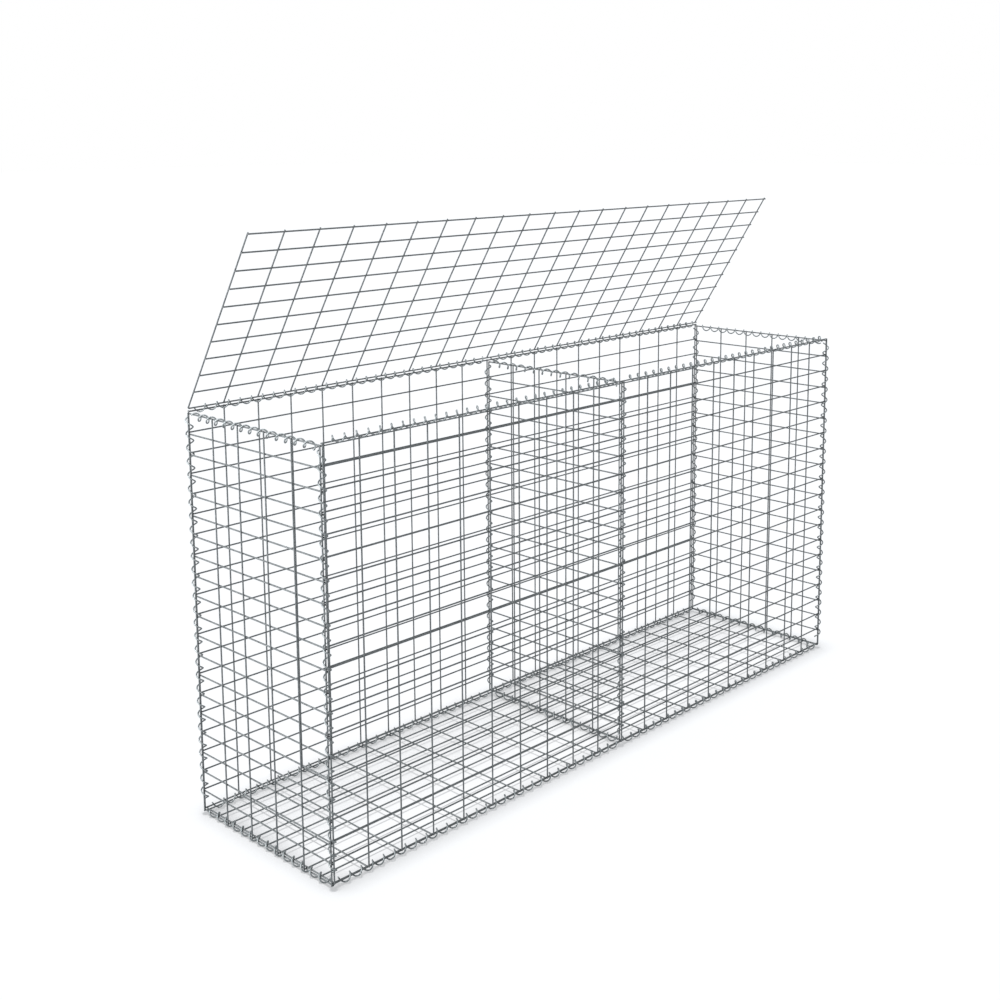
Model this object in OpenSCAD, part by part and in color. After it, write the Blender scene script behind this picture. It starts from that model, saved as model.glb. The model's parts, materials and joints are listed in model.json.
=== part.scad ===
// Gabion basket of two bays: welded wire panels laced edge to edge with spirals, and a hinged lid.
// Length runs along X, depth along Y with the front at -Y, and Z is up from the ground.

/* [Basket] */
// Length of one of the two bays, between edge wires
bay_l = 1000; // [600:50:1200]
// Depth from front to back, between edge wires
depth = 500; // [300:50:700]
// Height of the walls, between edge wires
height = 1000; // [500:50:1200]

/* [Mesh] */
// Long side of a mesh cell, to which a whole number of cells in each wall comes nearest
cell_l = 100; // [90:1:120]
// Mesh wire, across its flats
wire_d = 3.5; // [3.2:0.1:3.6]
// Clearance between wires that pass or lie side by side
gap = 0.35; // [0.3:0.01:0.4]

/* [Spirals] */
// Spiral wire, across the circle that its three-sided section fits in
spiral_wire = 3.6; // [3:0.1:4]
// Bare length of edge left at each corner, from the spiral that crosses there
corner_gap = 15; // [14:1:30]

/* [Lid] */
// How far the lid stands open, from lying flat on the walls
lid_open = 58; // [5:1:170]

/* [Hidden] */
// Whole mesh cells: a cell is half as high as it is long, and the base is cut from the same mesh
bay_cells = max(2, round(bay_l / cell_l));
depth_cells = max(2, round(depth / cell_l));
height_cells = max(2, round(2 * height / cell_l));
long_cells = 2 * bay_cells;
base_cells = 2 * depth_cells;
step_x = bay_l / bay_cells;
step_y = depth / depth_cells;
step_z = height / height_cells;
half_d = depth / 2;
wire_r = wire_d / 2;
// Corner radius of the eight-sided wire
wire_c = wire_r / cos(22.5);

// A spiral makes three turns along a long cell, in five straight steps a turn, so that it meets the
// wires it laces at the same coil angle all the way
turns = 3;
steps = 5;
// The widest pair of wires in a spiral has a third wire pass between them
pair = 2 * wire_d + gap;
coil_r = (pair / 2 + wire_c + 1.5 * gap) / cos(180 / steps) + spiral_wire / 4;
coil_out = coil_r + spiral_wire / 2;
// From a spiral's centre to a single wire that lies against the inside of its turns
lean = pair / 2;

// Coil angles where each kind of spiral passes the wires that cross it. Spirals are left-handed, except
// the lower cross ones, and the right end mirrors the left
front_corner_phase = 243;
back_corner_phase = 258;
divider_front_phase = 108;
divider_back_phase = 64;
base_long_phase = 258;
base_short_phase = 270;
top_long_phase = 48;
top_short_phase = 12;
hinge_phase = 323;

// Walls: uprights outside, cross wires inside, and the ends lower than the front and back so that
// their cross wires pass each other in the corners
stagger = 1.5 * wire_d;
corner_far = 0.75 * (wire_d + 2 * gap);
corner_near = 0.25 * (wire_d + 2 * gap);
corner_x = bay_l + corner_near;
corner_y = half_d + corner_near;
front_up_y = corner_y + corner_far;
front_bar_y = front_up_y - wire_d;
end_up_x = corner_x + corner_far;
end_bar_x = end_up_x - wire_d;

// Heights: the base's long wires are its lower layer, and the ends start level with them
base_z = coil_out;
front_z = base_z + stagger;
top_z = front_z + height;
end_top_z = base_z + height;
base_edge_y = front_bar_y - wire_d - 3 * gap;
base_edge_x = end_bar_x - wire_d - gap;

// Divider: uprights at mid-length, cross wires on their right
divider_edge_y = front_bar_y - wire_d - gap;
divider_bar_x = wire_d;
divider_z = base_z + wire_d + gap;
base_mid_x = divider_bar_x + wire_d + gap;

// Lid: it turns about its rear wire, which lies over the back's top wire
hinge_y = front_bar_y;
hinge_z = top_z + pair;

zinc = [0.55, 0.57, 0.58];
spiral_zinc = [0.62, 0.64, 0.65];

// Wire places about the middle at a spacing, the outer two drawn in to the panel's edge
function places(count, spacing, edge) =
  [for (i = [0 : count]) max(-edge, min(edge, (i - count / 2) * spacing))];

bar_heights = [for (i = [0 : height_cells]) i * step_z];

// An eight-sided wire along Z from the origin, with flats on X and Y
module wire(len) {
  t = wire_r * tan(22.5);
  linear_extrude(len)
    polygon([[wire_r, t], [t, wire_r], [-t, wire_r], [-wire_r, t],
             [-wire_r, -t], [-t, -wire_r], [t, -wire_r], [wire_r, -t]]);
}

// A flat welded panel: wires along Y at each of us in the plane Z = 0, and wires along X at each
// of vs one wire higher, so that their flats meet at every crossing
module panel(us, vs) {
  u_len = us[len(us) - 1] - us[0] + wire_d;
  v_len = vs[len(vs) - 1] - vs[0] + wire_d;
  for (u = us) translate([u, vs[0] - wire_r, 0]) rotate([-90, 0, 0]) wire(v_len);
  for (v = vs) translate([us[0] - wire_r, v, wire_d]) rotate([0, 90, 0]) wire(u_len);
}

// A spiral along X from about x0 to x1 that laces wires a cell apart. Its coil angle is phase at the
// place ref, and turns from +Y towards +Z as X grows
module spiral(x0, x1, cell, ref, phase) {
  pitch = cell / turns;
  step = pitch / steps;
  first = ceil((x0 - ref) / step);
  last = floor((x1 - ref) / step);
  rings = last - first;
  lay = atan(pitch / (2 * PI * coil_r));
  points = [for (i = [first : last], k = [0 : 2])
    let (a = phase + 360 * i / steps,
         u = coil_r + spiral_wire / 2 * cos(120 * k),
         w = spiral_wire / 2 * sin(120 * k))
    [ref + i * step + w * cos(lay),
     u * cos(a) + w * sin(lay) * sin(a),
     u * sin(a) - w * sin(lay) * cos(a)]];
  faces = concat(
    [[0, 1, 2]],
    [for (i = [0 : rings - 1], k = [0 : 2]) [3 * i + k, 3 * (i + 1) + k, 3 * (i + 1) + (k + 1) % 3]],
    [for (i = [0 : rings - 1], k = [0 : 2]) [3 * i + k, 3 * (i + 1) + (k + 1) % 3, 3 * i + (k + 1) % 3]],
    [[3 * rings + 2, 3 * rings + 1, 3 * rings]]);
  color(spiral_zinc) polyhedron(points, faces);
}

// A spiral up a wall, its coil angle turning from -X towards +Y as Z grows
module upright_spiral(phase) {
  multmatrix([[0, -1, 0, 0], [0, 0, 1, 0], [1, 0, 0, 0], [0, 0, 0, 1]])
    spiral(front_z + corner_gap, top_z - corner_gap / 2, 2 * step_z, front_z, phase);
}

// A spiral from front to back, its coil angle turning from +X towards +Z as Y grows
module cross_spiral(phase) {
  reach = corner_y - corner_gap;
  multmatrix([[0, 1, 0, 0], [1, 0, 0, 0], [0, 0, 1, 0], [0, 0, 0, 1]])
    spiral(-reach, reach, step_y, half_d, phase);
}

// A spiral along one bay, on the left or the right of the divider
module bay_spiral(left, phase) {
  x0 = corner_gap;
  x1 = corner_x - corner_gap;
  spiral(left ? -x1 : x0, left ? -x0 : x1, step_x, 0, phase);
}

// Front wall, its uprights on the outside
module front_panel() {
  color(zinc) translate([0, -front_up_y, front_z])
    multmatrix([[1, 0, 0, 0], [0, 0, 1, 0], [0, 1, 0, 0], [0, 0, 0, 1]])
      panel(places(long_cells, step_x, bay_l), bar_heights);
}

module back_panel() { mirror([0, 1, 0]) front_panel(); }

// Left end wall, its uprights on the outside
module left_end_panel() {
  color(zinc) translate([-end_up_x, 0, base_z])
    multmatrix([[0, 0, 1, 0], [1, 0, 0, 0], [0, 1, 0, 0], [0, 0, 0, 1]])
      panel(places(depth_cells, step_y, half_d), bar_heights);
}

module right_end_panel() { mirror([1, 0, 0]) left_end_panel(); }

// Divider between the bays, its lowest wire lifted to clear the base's long wires
module divider_panel() {
  heights = [for (h = bar_heights) max(divider_z, base_z + h)];
  color(zinc)
    multmatrix([[0, 0, 1, 0], [1, 0, 0, 0], [0, 1, 0, 0], [0, 0, 0, 1]])
      panel(places(depth_cells, step_y, divider_edge_y), heights);
}

// Base, its middle cross wire set beside the divider
module base_panel() {
  across = [for (x = places(long_cells, step_x, base_edge_x)) x == 0 ? base_mid_x : x];
  color(zinc) translate([0, 0, base_z])
    multmatrix([[0, 1, 0, 0], [1, 0, 0, 0], [0, 0, 1, 0], [0, 0, 0, 1]])
      panel(places(base_cells, step_y / 2, base_edge_y), across);
}

// Lid, drawn flat with its long wires underneath and then swung open about the hinge
module lid_panel() {
  color(zinc) translate([0, hinge_y, hinge_z]) rotate([-lid_open, 0, 0])
    multmatrix([[0, 1, 0, 0], [1, 0, 0, 0], [0, 0, 1, 0], [0, 0, 0, 1]])
      panel([for (i = [-base_cells : 0]) i * step_y / 2], places(long_cells, step_x, bay_l));
}

// Upright spirals: each holds the edge uprights of two walls, or of a wall and the divider
module corner_spiral_front_left() {
  translate([-corner_x, -corner_y, 0]) upright_spiral(front_corner_phase);
}
module corner_spiral_back_left() {
  translate([-corner_x, corner_y, 0]) upright_spiral(back_corner_phase);
}
module corner_spiral_front_right() { mirror([1, 0, 0]) corner_spiral_front_left(); }
module corner_spiral_back_right() { mirror([1, 0, 0]) corner_spiral_back_left(); }
module divider_spiral_front() {
  translate([0, -front_up_y + pair / 2, 0]) upright_spiral(divider_front_phase);
}
module divider_spiral_back() {
  translate([0, front_up_y - pair / 2, 0]) upright_spiral(divider_back_phase);
}

// Lower spirals: each holds an edge wire of the base and the lowest wire of a wall or the divider
module base_spiral_long(left) {
  translate([0, -(front_bar_y + base_edge_y) / 2, (front_z + base_z) / 2])
    bay_spiral(left, base_long_phase);
}
module base_spiral_front_left() { mirror([1, 0, 0]) base_spiral_long(false); }
module base_spiral_front_right() { mirror([1, 0, 0]) base_spiral_long(true); }
module base_spiral_back_left() { mirror([0, 1, 0]) base_spiral_long(true); }
module base_spiral_back_right() { mirror([0, 1, 0]) base_spiral_long(false); }
module base_spiral_left() {
  translate([-end_bar_x + lean - gap, 0, base_z]) mirror([0, 1, 0]) cross_spiral(base_short_phase);
}
module base_spiral_right() { mirror([1, 0, 0]) base_spiral_left(); }
module base_spiral_divider() {
  translate([(divider_bar_x + base_mid_x) / 2, 0, base_z + wire_d / 4])
    mirror([0, 1, 0]) cross_spiral(base_short_phase);
}

// Upper spirals: the front ones stand on their wire, the short ones hang from theirs below the lid
module top_spiral_long(left) {
  translate([0, -front_bar_y, top_z + lean]) bay_spiral(left, top_long_phase);
}
module top_spiral_front_left() { mirror([1, 0, 0]) top_spiral_long(false); }
module top_spiral_front_right() { mirror([1, 0, 0]) top_spiral_long(true); }
module top_spiral_left() {
  translate([-end_bar_x, 0, end_top_z - lean]) cross_spiral(top_short_phase);
}
module top_spiral_right() { mirror([1, 0, 0]) top_spiral_left(); }
module top_spiral_divider() {
  translate([divider_bar_x, 0, end_top_z - lean]) cross_spiral(top_short_phase);
}

// Hinge spirals: they hold the back's top wire and the lid's rear wire
module hinge_spiral(left) {
  mirror([0, 1, 0]) translate([0, -hinge_y, top_z + pair / 2]) bay_spiral(left, hinge_phase);
}
module hinge_spiral_left() { hinge_spiral(true); }
module hinge_spiral_right() { hinge_spiral(false); }

front_panel();
back_panel();
left_end_panel();
right_end_panel();
divider_panel();
base_panel();
lid_panel();
corner_spiral_front_left();
corner_spiral_front_right();
corner_spiral_back_left();
corner_spiral_back_right();
divider_spiral_front();
divider_spiral_back();
base_spiral_front_left();
base_spiral_front_right();
base_spiral_back_left();
base_spiral_back_right();
base_spiral_left();
base_spiral_right();
base_spiral_divider();
top_spiral_front_left();
top_spiral_front_right();
top_spiral_left();
top_spiral_right();
top_spiral_divider();
hinge_spiral_left();
hinge_spiral_right();
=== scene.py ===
# %% [markdown]
# # A gabion basket, from drawn wire
#
# A gabion is a wire cage that is filled with stones on site and stands as a wall. This one is
# still empty: seven flat mats of welded wire, two bays, and a lid that stands open. Nothing is
# bolted. Each edge is laced with a wire spiral that is screwed along it and holds two mats
# together.
#
# The CAD model has every wire in its place, but with few sides, so that it stays light. Here
# the same wires are drawn round, the welds are added, and the steel gets its zinc. The lesson
# is mainly about **reading a model instead of repeating its numbers**: each wire's place is
# measured from the CAD model, so the two can't drift apart.

import json
import math

import bpy
import numpy as np
from mathutils import Matrix, Vector


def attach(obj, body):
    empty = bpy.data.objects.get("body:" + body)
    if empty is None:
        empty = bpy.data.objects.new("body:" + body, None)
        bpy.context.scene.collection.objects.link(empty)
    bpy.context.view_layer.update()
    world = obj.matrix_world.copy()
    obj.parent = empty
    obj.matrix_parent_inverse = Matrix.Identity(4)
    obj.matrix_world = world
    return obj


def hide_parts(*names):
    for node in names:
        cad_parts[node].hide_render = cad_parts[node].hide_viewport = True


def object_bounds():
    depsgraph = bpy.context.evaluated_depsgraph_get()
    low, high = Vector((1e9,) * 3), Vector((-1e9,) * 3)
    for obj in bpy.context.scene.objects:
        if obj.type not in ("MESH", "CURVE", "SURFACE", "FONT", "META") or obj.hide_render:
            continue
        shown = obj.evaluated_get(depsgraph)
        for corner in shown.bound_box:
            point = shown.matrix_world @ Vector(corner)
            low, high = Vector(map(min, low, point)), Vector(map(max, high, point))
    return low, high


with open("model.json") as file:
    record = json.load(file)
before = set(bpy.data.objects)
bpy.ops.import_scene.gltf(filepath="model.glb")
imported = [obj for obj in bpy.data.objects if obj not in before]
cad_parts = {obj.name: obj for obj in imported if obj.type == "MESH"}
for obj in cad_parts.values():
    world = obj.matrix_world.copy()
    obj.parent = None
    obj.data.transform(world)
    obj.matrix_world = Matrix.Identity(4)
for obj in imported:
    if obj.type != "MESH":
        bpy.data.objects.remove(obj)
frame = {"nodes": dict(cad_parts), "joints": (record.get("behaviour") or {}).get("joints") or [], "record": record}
cad_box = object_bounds()
bodies = frame["record"]["behaviour"]["bodies"]
body_of = {node: body for body, nodes in bodies.items() for node in nodes}
panels = [node for node in body_of if node.endswith("_panel")]
spirals = [node for node in body_of if "_spiral" in node]
cad_size = [round(b - a, 3) for a, b in zip(*cad_box)]
print(f"{len(panels)} panels, {len(spirals)} spirals, box {cad_size} m")

# %% [markdown]
# ## Sums with sockets
#
# Zinc's spangle and a spiral's turns are both sums, worked out over node sockets. They could be
# wired one Math node at a time, but then the sum is hard to see. So a small class lets a socket
# be added and multiplied like a number, and one method makes any other node: its settings
# first, because they can change which sockets it has, and then the values of its sockets.


# %% A socket that works like a number
class Socket:
    """An output socket that can stand in a sum."""

    def __init__(self, wiring, socket):
        self.wiring, self.socket = wiring, socket

    def maths(self, operation, a, b):
        return self.wiring.node("ShaderNodeMath", {"operation": operation}, {0: a, 1: b})

    def __add__(self, other):
        return self.maths("ADD", self, other)

    def __radd__(self, other):
        return self.maths("ADD", other, self)

    def __sub__(self, other):
        return self.maths("SUBTRACT", self, other)

    def __rsub__(self, other):
        return self.maths("SUBTRACT", other, self)

    def __mul__(self, other):
        return self.maths("MULTIPLY", self, other)

    def __rmul__(self, other):
        return self.maths("MULTIPLY", other, self)


print("sockets take + - and * from either side")


# %% One way to make a node
class Wiring:
    """A node tree, and the way to put nodes in it."""

    def __init__(self, tree):
        self.tree = tree

    def node(self, kind, settings=None, values=None, out=0):
        made = self.tree.nodes.new(kind)
        for name, value in (settings or {}).items():
            setattr(made, name, value)
        for name, value in (values or {}).items():
            if isinstance(value, Socket):
                self.tree.links.new(value.socket, made.inputs[name])
            else:
                made.inputs[name].default_value = value
        return Socket(self, made.outputs[out]) if made.outputs else made


def material_wiring(name):
    material = bpy.data.materials.new(name)
    material.use_nodes = True
    material.node_tree.nodes.clear()
    return material, Wiring(material.node_tree)


print("nodes come from Wiring.node(kind, settings, values)")

# %% [markdown]
# ## Zinc
#
# The wire is drawn from steel and dipped in zinc, which sets in flat crystals, the spangle:
# patches a few millimetres long that catch the light a little differently. Broader clouds come
# from handling and weather, and a fine grain breaks up the highlight. Where two wires were
# welded after dipping, the zinc has burnt off dull and dark.
#
# One grey would do at arm's length, and a photograph of zinc would tie the pattern to a flat
# sheet. Patterns in metres on the object's own coordinates run on from wire to wire at their
# true size, and one recipe gives all three finishes. Weathered zinc is no clean mirror, so it
# counts as half metal.


# %% The zinc recipe
crystals_a_metre, clouds_a_metre, grains_a_metre = 210.0, 14.0, 1300.0
dent_depth = 0.0003
half_metal = 0.5


def zinc(name, dark, light, dullness):
    material, w = material_wiring(name)
    place = w.node("ShaderNodeTexCoord", out="Object")
    crystal = w.node(
        "ShaderNodeTexVoronoi", None, {"Vector": place, "Scale": crystals_a_metre}, out="Color"
    )
    spangle = w.node("ShaderNodeSeparateColor", None, {"Color": crystal})
    cloud = w.node(
        "ShaderNodeTexNoise", None, {"Vector": place, "Scale": clouds_a_metre, "Detail": 3.0}
    )
    grain = w.node(
        "ShaderNodeTexNoise", None, {"Vector": place, "Scale": grains_a_metre, "Detail": 2.0}
    )
    lightness = 0.55 * spangle + 0.75 * cloud - 0.15
    tone = w.node(
        "ShaderNodeMix",
        {"data_type": "RGBA"},
        {"Factor": lightness, "A": (*dark, 1.0), "B": (*light, 1.0)},
        out=2,
    )
    relief = grain + 0.6 * spangle
    roughness = dullness - 0.1 + 0.12 * spangle + 0.16 * cloud
    dents = w.node(
        "ShaderNodeBump", None, {"Strength": 0.25, "Distance": dent_depth, "Height": relief}
    )
    steel = w.node(
        "ShaderNodeBsdfPrincipled",
        None,
        {
            "Base Color": tone,
            "Roughness": roughness,
            "Metallic": half_metal,
            "Normal": dents,
        },
    )
    w.node("ShaderNodeOutputMaterial", None, {"Surface": steel})
    return material


mesh_zinc = zinc("mesh_zinc", (0.065, 0.074, 0.078), (0.164, 0.177, 0.181), 0.42)
# The spirals' zinc is painted lighter than the mesh's: a painted sheen that stands in for the highlights their
# coils catch.
spiral_zinc = zinc("spiral_zinc", (0.107, 0.122, 0.127), (0.267, 0.288, 0.293), 0.36)
weld_zinc = zinc("weld_zinc", (0.042, 0.046, 0.047), (0.099, 0.105, 0.107), 0.62)
print("zinc for", mesh_zinc.name, spiral_zinc.name, weld_zinc.name)

# %% [markdown]
# ## Two trees
#
# Everything here is one of two things that repeat, a straight wire or a coil, so there are two
# Geometry Nodes trees. Loops in Python could place hundreds of cylinders too, but a tree keeps
# its sizes as named inputs and sweeps one circle along any path.
#
# **Welded mat.** A skeleton of edges becomes round wire, with each end drawn in a little as the
# shears leave it, and a small flat bead is set on every point that is marked as a weld. The
# mark stays on the bead, and at the end it picks the burnt finish.
#
# **Spiral.** A straight line is cut into short steps and wound up: how far along a point lies
# gives its angle, and a negative number of turns winds it the other way.


# %% What both trees share
def new_tree(name, inputs):
    tree = bpy.data.node_groups.new(name, "GeometryNodeTree")
    tree.interface.new_socket("Geometry", in_out="OUTPUT", socket_type="NodeSocketGeometry")
    for label, kind in inputs.items():
        tree.interface.new_socket(label, in_out="INPUT", socket_type="NodeSocket" + kind)
    w = Wiring(tree)
    source = tree.nodes.new("NodeGroupInput")
    return w, {label: Socket(w, source.outputs[label]) for label in inputs}


def swept(w, path, diameter, sides):
    ring = w.node(
        "GeometryNodeCurvePrimitiveCircle",
        {"mode": "RADIUS"},
        {"Resolution": sides, "Radius": 0.5 * diameter},
    )
    return w.node(
        "GeometryNodeCurveToMesh",
        None,
        {"Curve": path, "Profile Curve": ring, "Fill Caps": True},
    )


def named(w, kind, name):
    return w.node("GeometryNodeInputNamedAttribute", {"data_type": kind}, {"Name": name})


def closing(w, geometry, finishes):
    """Real faces, smooth, in their finishes, each laid on the part that its mark selects."""
    real = w.node("GeometryNodeRealizeInstances", None, {"Geometry": geometry})
    coat = w.node("GeometryNodeSetShadeSmooth", None, {"Geometry": real, "Shade Smooth": True})
    for finish, part in finishes:
        coat = w.node(
            "GeometryNodeSetMaterial",
            None,
            {"Geometry": coat, "Selection": part, "Material": finish},
        )
    w.node("NodeGroupOutput", None, {"Geometry": coat})
    return w.tree


print("both trees end in real faces with their finishes")


# %% The welded mat's tree
def mat_tree():
    sizes = dict.fromkeys(("Wire", "Bead", "Flatness"), "Float")
    w, given = new_tree("welded_mat", {"Skeleton": "Geometry", **sizes, "Sides": "Int"})
    paths = w.node("GeometryNodeMeshToCurve", None, {"Mesh": given["Skeleton"]})
    girth = named(w, "FLOAT", "girth")
    drawn = w.node("GeometryNodeSetCurveRadius", None, {"Curve": paths, "Radius": girth})
    wires = swept(w, drawn, given["Wire"], given["Sides"])
    weld = named(w, "BOOLEAN", "weld")
    spots = w.node(
        "GeometryNodeMeshToPoints", None, {"Mesh": given["Skeleton"], "Selection": weld}
    )
    bead = w.node("GeometryNodeMeshIcoSphere", None, {"Radius": given["Bead"], "Subdivisions": 1})
    shape = w.node("ShaderNodeCombineXYZ", None, {"X": 1.0, "Y": 1.0, "Z": given["Flatness"]})
    beads = w.node(
        "GeometryNodeInstanceOnPoints", None, {"Points": spots, "Instance": bead, "Scale": shape}
    )
    both = w.node("GeometryNodeJoinGeometry", None, {"Geometry": wires})
    w.tree.links.new(beads.socket, both.socket.node.inputs["Geometry"])
    return closing(w, both, [(mesh_zinc, True), (weld_zinc, weld)])


welded_mat = mat_tree()
print(welded_mat.name, "has", len(welded_mat.nodes), "nodes")


# %% The spiral's tree
def spiral_tree():
    sizes = dict.fromkeys(("Turns", "Length", "Radius", "Phase", "Wire"), "Float")
    counts = {"Sides": "Int", "Steps": "Int"}
    w, given = new_tree("wire_spiral", {"Skeleton": "Geometry", **sizes, **counts})
    tip = w.node("ShaderNodeCombineXYZ", None, {"Z": given["Length"]})
    line = w.node("GeometryNodeCurvePrimitiveLine", None, {"End": tip})
    cut = w.node("GeometryNodeResampleCurve", None, {"Curve": line, "Count": given["Steps"]})
    along = w.node("GeometryNodeSplineParameter")
    angle = given["Phase"] + along * given["Turns"] * (2 * math.pi)
    wound = w.node(
        "ShaderNodeCombineXYZ",
        None,
        {
            "X": given["Radius"] * w.node("ShaderNodeMath", {"operation": "COSINE"}, {0: angle}),
            "Y": given["Radius"] * w.node("ShaderNodeMath", {"operation": "SINE"}, {0: angle}),
            "Z": along * given["Length"],
        },
    )
    coil = w.node("GeometryNodeSetPosition", None, {"Geometry": cut, "Position": wound})
    return closing(w, swept(w, coil, given["Wire"], given["Sides"]), [(spiral_zinc, True)])


wire_spiral = spiral_tree()
print(wire_spiral.name, "has", len(wire_spiral.nodes), "nodes")

# %% [markdown]
# ## From a recipe to a piece
#
# A tree is only a recipe. It could stay on the piece as a live modifier, but the finished part
# should be plain faces that any program can read. So `cast` gives the tree a skeleton and its
# values, lets it run once, and keeps the result as a mesh, turned to its place in the basket.
# The piece then rides on its body and stands for one CAD node.


# %% Cast a piece
def cast(node, tree, skeleton, values, place):
    maker = bpy.data.objects.new(node + "_maker", skeleton)
    bpy.context.scene.collection.objects.link(maker)
    recipe = maker.modifiers.new("recipe", "NODES")
    recipe.node_group = tree
    inputs = [item for item in tree.interface.items_tree if item.in_out == "INPUT"]
    ids = {item.name: item.identifier for item in inputs}
    for label, value in values.items():
        recipe[ids[label]] = value
    made = maker.evaluated_get(bpy.context.evaluated_depsgraph_get())
    mesh = bpy.data.meshes.new_from_object(made)
    mesh.transform(place)
    maker.modifiers.clear()
    bpy.data.objects.remove(maker)
    piece = bpy.data.objects.new(node + "_wire", mesh)
    bpy.context.scene.collection.objects.link(piece)
    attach(piece, body_of[node])
    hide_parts(node)
    return piece


def corners_of(node):
    """The CAD node's corners, each once."""
    mesh = frame["nodes"][node].data
    flat = np.empty(len(mesh.vertices) * 3, np.float32)
    mesh.vertices.foreach_get("co", flat)
    return np.unique(flat.reshape(-1, 3).astype(float).round(6), axis=0)


def swapped(axes):
    """Turns a piece made along its own axes to the basket's."""
    rows = [[float(axes[column] == row) for column in range(3)] for row in range(3)]
    return Matrix(rows).to_4x4()


counts = {node: len(corners_of(node)) for node in panels[:2] + spirals[:1]}
print("corners to read:", counts)

# %% [markdown]
# ## Reading a mat
#
# A mat is two layers of parallel wires, one on the other and welded where they cross, so its
# thickness is two wires. The spacing could be typed in again, but a size that is written twice
# goes wrong once. At the end of a layer's wires the CAD model has their cut ends, each a little
# cluster of corners, and the middle of each cluster is a wire's place.
#
# The lid stands open, so it is laid flat first. Its long direction is the one that its corners
# spread along, seen from the end, and the angle of that direction is how far it is open.


# %% Lay the lid flat
def lid_turn():
    hinge = next(joint for joint in frame["joints"] if joint["child"] == "lid")
    pivot = np.array(hinge["pos_m"])
    corners = corners_of("lid_panel")[:, 1:]
    middle = corners.mean(0)
    span = np.linalg.svd(corners - middle, full_matrices=False)[2][0]
    span = span if span @ (middle - pivot[1:]) > 0 else -span
    angle = math.atan2(span[1], -span[0])
    to = Matrix.Translation(Vector(pivot))
    return to @ Matrix.Rotation(-angle, 4, "X") @ to.inverted(), angle


open_lid, lid_angle = lid_turn()
print(f"lid open {math.degrees(lid_angle):.2f} degrees")


# %% Find the wires of a flat mat
# How near the mat's end, how near a layer's middle, and how far apart two wires are, in wires
at_the_end, in_the_layer, next_wire = 0.02, 0.3, 1.2


def read_mat(corners):
    """A flat mat's two layers, each as (places across, depth), its ends, wire and axes."""
    low, high = corners.min(0), corners.max(0)
    thin = int((high - low).argmin())
    axes = ((thin + 1) % 3, (thin + 2) % 3, thin)
    corners, low, high = corners[:, axes], low[list(axes)], high[list(axes)]
    wire = (high[2] - low[2]) / 2
    depths = (low[2] + wire / 2, high[2] - wire / 2)
    layers = []
    for run in (0, 1):
        ends = corners[corners[:, run] < low[run] + at_the_end * wire]
        found = {}
        for depth in depths:
            near = abs(ends[:, 2] - depth) < in_the_layer * wire
            found[depth] = ends[near][:, 1 - run]
        depth = max(found, key=lambda d: len(found[d]))
        across = np.sort(found[depth])
        clusters = np.split(across, np.flatnonzero(np.diff(across) > next_wire * wire) + 1)
        layers.append(([(c[0] + c[-1]) / 2 for c in clusters], depth))
    return layers, low, high, wire, axes


def flat_mat(node):
    lay = open_lid if node == "lid_panel" else Matrix.Identity(4)
    back = np.array(lay.inverted())
    return read_mat(corners_of(node) @ back[:3, :3].T + back[:3, 3]), lay


for node in panels:
    (layers, low, high, wire, axes), lay = flat_mat(node)
    count = f"{len(layers[0][0])} + {len(layers[1][0])}"
    print(f"{node}: {count} wires, {1000 * wire:.2f} mm across flats")

# %% [markdown]
# ## Drawing the mats
#
# A CAD wire has eight sides, and the round one goes round its corners, so it is a little
# thicker than the eight-sided wire is across its flats. Where two wires cross they then sink
# into each other by a hair, as welded wires do. A wire needs four points: its two ends, which
# are nipped thinner, and one just inside each.


# %% The skeleton of a mat
nip_length, nip_girth = 0.18, 0.78


def mat_skeleton(name, layers, low, high, wire):
    """Four points a wire, thinner at its two ends, and a loose point at each weld."""
    points, girth, edges = [], [], []
    nip = nip_length * wire
    for run, (places, depth) in enumerate(layers):
        stops = (low[run], low[run] + nip, high[run] - nip, high[run])
        for place in places:
            start = len(points)
            points += [(at, place, depth) if run == 0 else (place, at, depth) for at in stops]
            girth += [nip_girth, 1, 1, nip_girth]
            edges += [(start + k, start + k + 1) for k in range(3)]
    level = (layers[0][1] + layers[1][1]) / 2
    welds = [(u, v, level) for u in layers[1][0] for v in layers[0][0]]
    skeleton = bpy.data.meshes.new(name)
    skeleton.from_pydata(points + welds, edges, [])
    girths = girth + [1] * len(welds)
    skeleton.attributes.new("girth", "FLOAT", "POINT").data.foreach_set("value", girths)
    marks = [False] * len(points) + [True] * len(welds)
    skeleton.attributes.new("weld", "BOOLEAN", "POINT").data.foreach_set("value", marks)
    return skeleton, len(welds)


print("wire ends nipped to", nip_girth, "of their girth")

# %% Draw the seven mats
round_the_corners = 1 / math.cos(math.pi / 8)
bead_size, bead_flatness = 0.62, 0.55
mesh_wire_sides = 12
pieces = []
for node in panels:
    (layers, low, high, wire, axes), lay = flat_mat(node)
    skeleton, welds = mat_skeleton(node, layers, low, high, wire)
    sizes = {
        "Wire": wire * round_the_corners,
        "Sides": mesh_wire_sides,
        "Bead": bead_size * wire,
        "Flatness": bead_flatness,
    }
    piece = cast(node, welded_mat, skeleton, sizes, lay @ swapped(axes))
    pieces.append(piece)
    print(f"{piece.name}: {welds} welds, {len(piece.data.polygons)} faces")

# %% [markdown]
# ## Reading a spiral
#
# On the real basket a spiral is a spring of the same wire, wound in a long length and screwed
# through both mats at once. Which way it winds and where it starts decide whether it meets the
# wires, so they are read and not guessed. A CAD spiral is a row of three-cornered rings. Sorted
# along the spiral and taken three at a time, the corners give the rings' middles, and these lie
# on the true coil. Two neighbours give the angle of a step and its hand, and the middles of one
# whole turn average to the spiral's own axis.


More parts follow.
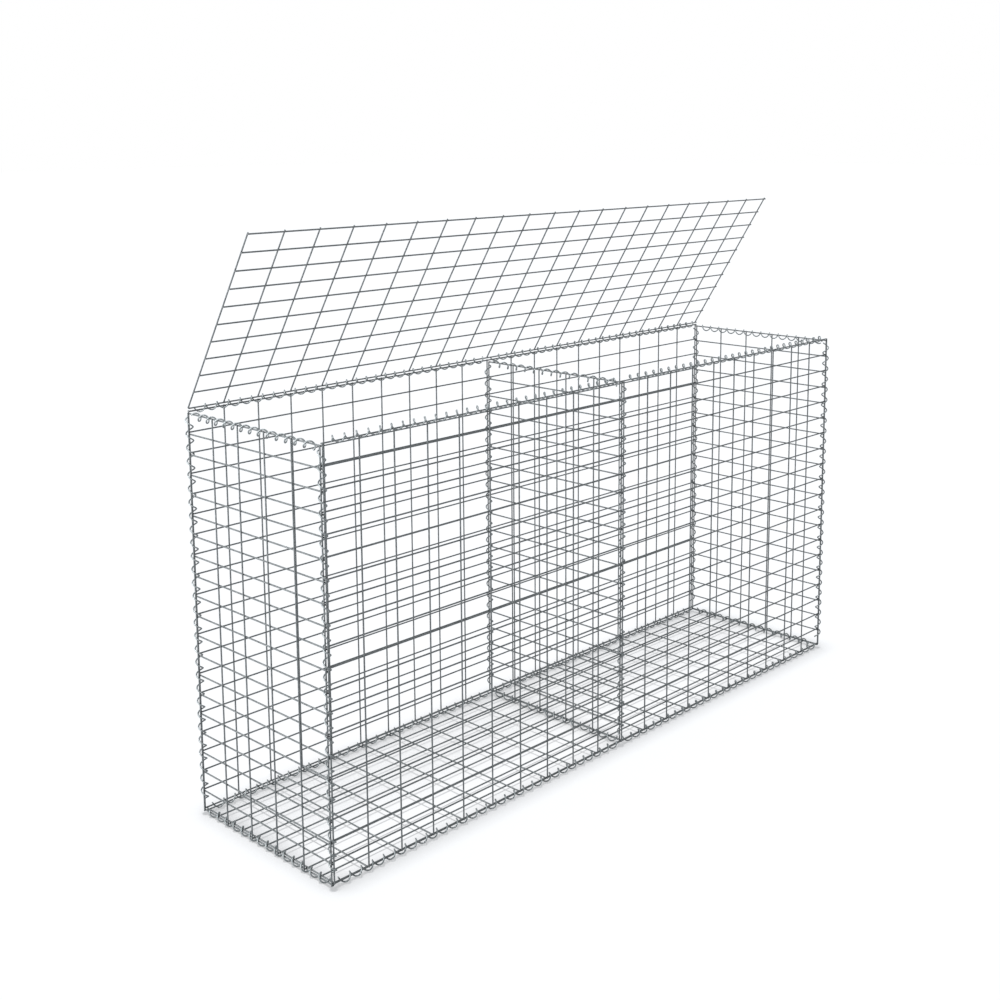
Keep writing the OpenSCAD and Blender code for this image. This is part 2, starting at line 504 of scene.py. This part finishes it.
# %% Find the coil in its corners
def read_spiral(corners):
    run = int((corners.max(0) - corners.min(0)).argmax())
    axes = ((run + 1) % 3, (run + 2) % 3, run)
    corners = corners[:, axes]
    rings = corners[np.argsort(corners[:, 2])].reshape(-1, 3, 3)
    middles = rings.mean(1)
    a, b, c = middles[:3, :2]
    bend = np.array([*(b - a), 0]), np.array([*(c - b), 0])
    step = math.atan2(np.cross(*bend)[2], bend[0] @ bend[1])
    turn = round(2 * math.pi / abs(step))
    axis = middles[:turn, :2].mean(0)
    out = middles[0, :2] - axis
    return {
        "axes": axes,
        "start": (*axis, middles[0, 2]),
        "Length": float(middles[-1, 2] - middles[0, 2]),
        "Turns": (len(middles) - 1) * step / (2 * math.pi),
        "Phase": math.atan2(out[1], out[0]),
        "Radius": float(np.hypot(*out)),
        "Wire": 2 * float(np.linalg.norm(rings[0] - middles[0], axis=1).mean()),
    }


sample = read_spiral(corners_of(spirals[0]))
print(spirals[0], {key: round(sample[key], 4) for key in ("Length", "Turns", "Radius", "Wire")})

# %% Wind the twenty spirals
steps_a_turn, spiral_wire_sides = 18, 8
for node in spirals:
    coil = read_spiral(corners_of(node))
    place = swapped(coil.pop("axes")) @ Matrix.Translation(coil.pop("start"))
    steps = round(abs(coil["Turns"]) * steps_a_turn) + 1
    sizes = {**coil, "Sides": spiral_wire_sides, "Steps": steps}
    piece = cast(node, wire_spiral, bpy.data.meshes.new(node), sizes, place)
    pieces.append(piece)
    pitch, radius = 1000 * coil["Length"] / abs(coil["Turns"]), 1000 * coil["Radius"]
    print(f"{piece.name}: {coil['Turns']:.1f} turns, pitch {pitch:.2f}, radius {radius:.2f} mm")

# %% [markdown]
# ## Floor
#
# The basket stands on a plain pale floor. A floor that only catches shadows would need
# compositing, and a white backdrop far behind would show an edge. So the floor is nearly white,
# and where it is looked at it is faded part of the way to pure white: open floor then meets the
# background without an edge, and the wires' shadow stays.


# %% Lay the floor
pale, white = (0.88, 0.88, 0.88, 1), (1, 1, 1, 1)
fade = 0.45
half = 60.0


def seen(w):
    """1 where the camera looks straight at something, or sees it in metal or through glass."""
    ray = w.tree.nodes.new("ShaderNodeLightPath")
    kinds = ("Camera", "Glossy", "Transmission")
    return sum(Socket(w, ray.outputs[f"Is {kind} Ray"]) for kind in kinds)


def floor_paint():
    paint, w = material_wiring("floor_paint")
    matt = w.node("ShaderNodeBsdfDiffuse", None, {"Color": pale})
    paper = w.node("ShaderNodeEmission", None, {"Color": white, "Strength": 1.0})
    faded = w.node("ShaderNodeMixShader", None, {0: fade * seen(w), 1: matt, 2: paper})
    w.node("ShaderNodeOutputMaterial", None, {"Surface": faded})
    return paint


pane = bpy.data.meshes.new("floor")
rim = [(-half, -half, 0), (half, -half, 0), (half, half, 0), (-half, half, 0)]
pane.from_pydata(rim, [], [(0, 1, 2, 3)])
pane.materials.append(floor_paint())
floor = bpy.data.objects.new("floor", pane)
bpy.context.scene.collection.objects.link(floor)
print("floor of", 2 * half, "m")

# %% [markdown]
# ## Light
#
# Thin round wire shows where the light comes from by its tone alone. In a studio a large soft
# lamp hangs over the object and another stands at its left. The one overhead puts each wire's
# shadow close under it, and the one at the left lifts the wires of the left end. It could light
# the floor too, but then the whole basket would throw a second, wide shadow. A studio holds up
# a flag, a black card that keeps a lamp off the floor, and light linking does the same here:
# that lamp lights the wires alone. A cool sky fills in the rest, a little bluer than the lamps,
# so the shadows on the floor turn faintly blue.


# %% A pale sky
cool, sky_strength = (0.88, 0.98, 1.12, 1), 0.33


def studio_world():
    world = bpy.data.worlds.new("studio")
    world.use_nodes = True
    world.node_tree.nodes.clear()
    w = Wiring(world.node_tree)
    lamp = w.node("ShaderNodeBackground", None, {"Color": cool, "Strength": sky_strength})
    paper = w.node("ShaderNodeBackground", None, {"Color": white, "Strength": 1.0})
    sky = w.node("ShaderNodeMixShader", None, {0: seen(w), 1: lamp, 2: paper})
    w.node("ShaderNodeOutputWorld", None, {"Surface": sky})
    return world


bpy.context.scene.world = studio_world()
bpy.context.scene.view_settings.view_transform = "Standard"
print("sky as light, and white where it is seen")


# %% Two soft lamps
def hang(lamp, place, towards):
    stand = bpy.data.objects.new(lamp.name, lamp)
    stand.location = place
    stand.rotation_euler = (Vector(towards) - Vector(place)).to_track_quat("-Z", "Y").to_euler()
    stand.visible_camera = False
    bpy.context.scene.collection.objects.link(stand)
    return stand


overhead = bpy.data.lights.new("soft_top", "SUN")
overhead.energy = 2.74
overhead.angle = math.radians(7)
hang(overhead, (0, 0, 4), (0.07, 0, 0))
at_left = bpy.data.lights.new("soft_left", "AREA")
at_left.shape = "DISK"
at_left.size = 2.4
at_left.energy = 215
lit = bpy.data.collections.new("lit_from_the_left")
for piece in pieces:
    lit.objects.link(piece)
stand = hang(at_left, (-3.6, 0.4, 1.9), (-0.6, 0, 0.6))
stand.light_linking.receiver_collection = lit
print(f"lamps: {overhead.name} {overhead.energy:.2f}, {at_left.name} {at_left.energy:.0f}")

# %% [markdown]
# ## Camera
#
# The camera's place was fitted to the corners of the basket in the photograph. A view camera
# that stands level and shifts its lens keeps uprights quite parallel. Here only part of that
# shift is used and the rest is a slight tilt down, because every other view keeps the shift and
# would lose the lid over its upper edge.

# %% Set up the camera
# Sizes of the picture in pixels, of the sensor in millimetres, and angles in degrees
picture_width, sensor = 1000, 36
focal, centre_y = 1370.6, 345
tilt_down, roll, heading = 8.748, 0.405, -45.562
camera = bpy.data.cameras.new("camera")
camera.sensor_width = sensor
camera.lens = focal * sensor / picture_width
camera.shift_y = (centre_y - picture_width / 2) / picture_width
camera.clip_end = 200
tripod = bpy.data.objects.new("camera", camera)
tripod.location = (-2.7531, -2.5044, 1.6586)
tripod.rotation_euler = [math.radians(angle) for angle in (90 - tilt_down, roll, heading)]
bpy.context.scene.collection.objects.link(tripod)
bpy.context.scene.camera = tripod
print(f"lens {camera.lens:.2f} mm, shift {camera.shift_y:.3f}")
